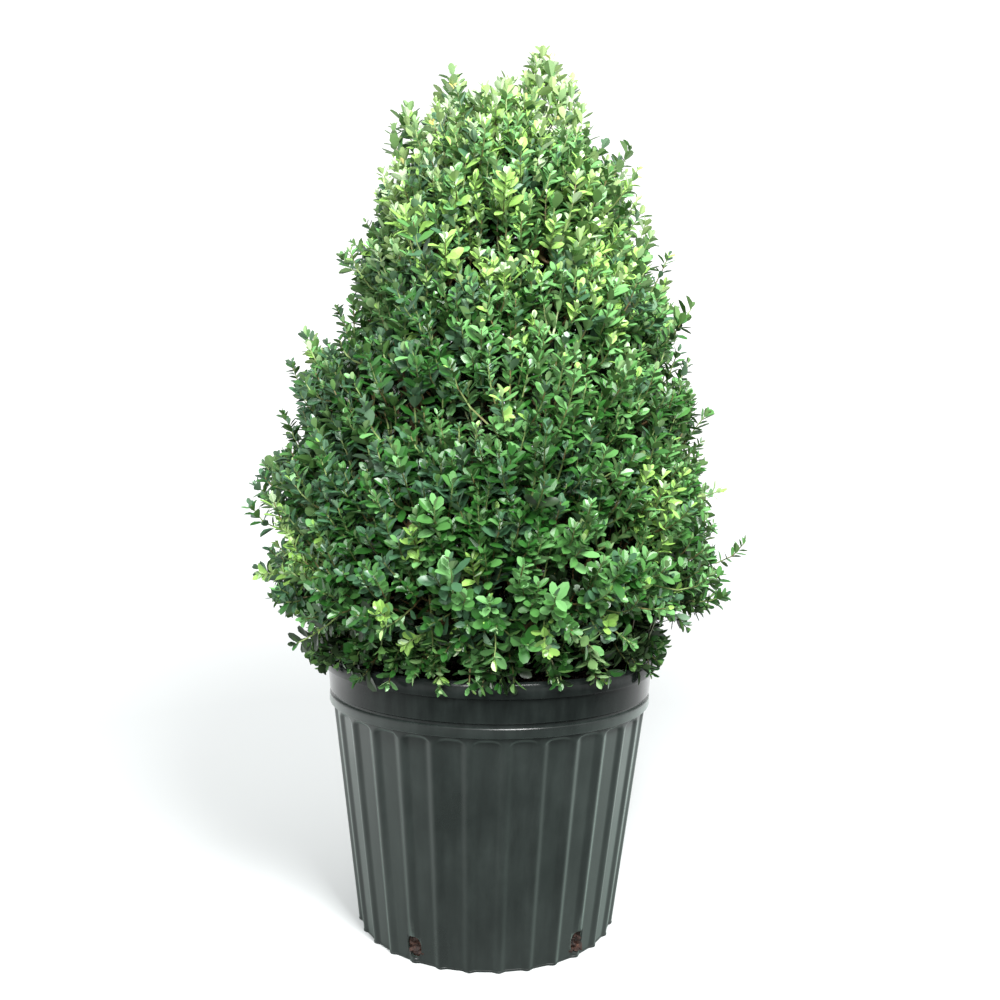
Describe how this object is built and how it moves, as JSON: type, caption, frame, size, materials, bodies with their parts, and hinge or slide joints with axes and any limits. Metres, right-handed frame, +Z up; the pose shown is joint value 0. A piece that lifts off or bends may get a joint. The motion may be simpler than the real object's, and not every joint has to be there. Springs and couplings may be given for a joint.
{
  "type": "potted boxwood cone topiary",
  "caption": "Evergreen boxwood shrub clipped to a loose leaning cone, with small rounded glossy leaves, growing in a round black fluted plastic nursery pot with side drain holes.",
  "frame": {"origin": "middle of the pot's flat underside", "axes": "+Z up, -Y towards the viewer's front, +X to the right, the side towards which the summit leans"},
  "size_m": [0.5057, 0.5006, 0.935],
  "materials": {
    "pot_plastic": "satin",
    "bark_mix": "matte",
    "bark": "matte",
    "leaf": "satin"
  },
  "bodies": {
    "root": {"pot": "pot_plastic", "growing_medium": "bark_mix", "main_stem": "bark", "bough_leader": "bark", "bough_shoulder": "bark", "bough_front": "bark", "bough_right": "bark", "bough_back_right": "bark", "bough_back_left": "bark", "bough_left": "bark", "foliage_leader": "leaf", "foliage_shoulder": "leaf", "foliage_front": "leaf", "foliage_right": "leaf", "foliage_back_right": "leaf", "foliage_back_left": "leaf", "foliage_left": "leaf"}
  },
  "joints": []
}
